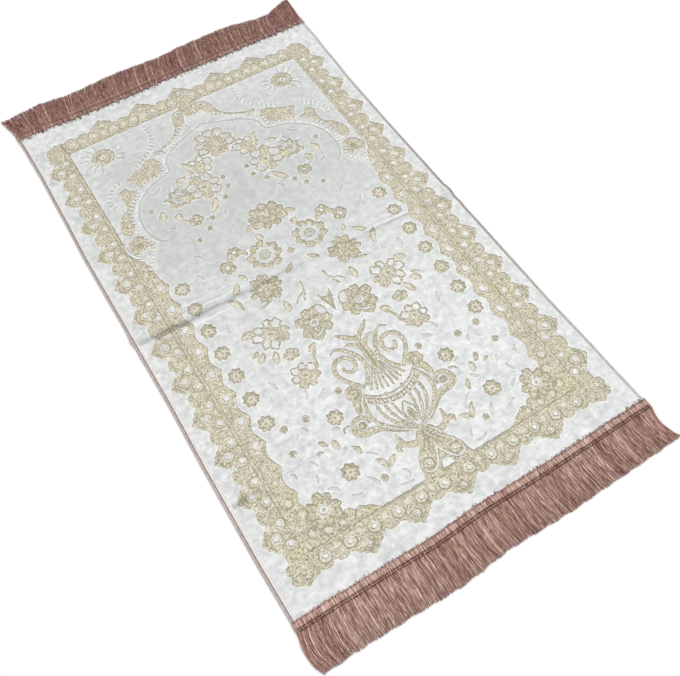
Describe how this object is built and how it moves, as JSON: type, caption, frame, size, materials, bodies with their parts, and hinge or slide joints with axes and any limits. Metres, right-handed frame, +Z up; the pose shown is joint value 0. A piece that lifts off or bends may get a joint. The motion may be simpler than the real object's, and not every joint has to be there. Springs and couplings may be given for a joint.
{
  "type": "prayer rug",
  "caption": "Rectangular prayer rug lying open: thin patterned pile cloth with an arch, bound along its sides, with a yarn fringe and woven heading over each end.",
  "frame": {"origin": "on the floor, under the middle of the whole rug, fringes included", "axes": "+X across the rug, +Y along it towards the end with the arch, +Z up"},
  "size_m": [0.6674, 1.2406, 0.0072],
  "materials": {
    "velvet_pile": "cool white satin velvet pile, soft sheen",
    "beige_ground": "coarse beige woven ground with pale glittering threads",
    "binding_yarn": "grey-rose overlocked yarn, matt",
    "fringe_yarn": "dusty-rose twisted yarn with a silky glint"
  },
  "bodies": {
    "root": {"rug_cloth": "velvet_pile", "binding_left": "binding_yarn", "binding_right": "binding_yarn", "fringe_near": "fringe_yarn", "fringe_far": "fringe_yarn"}
  },
  "joints": []
}
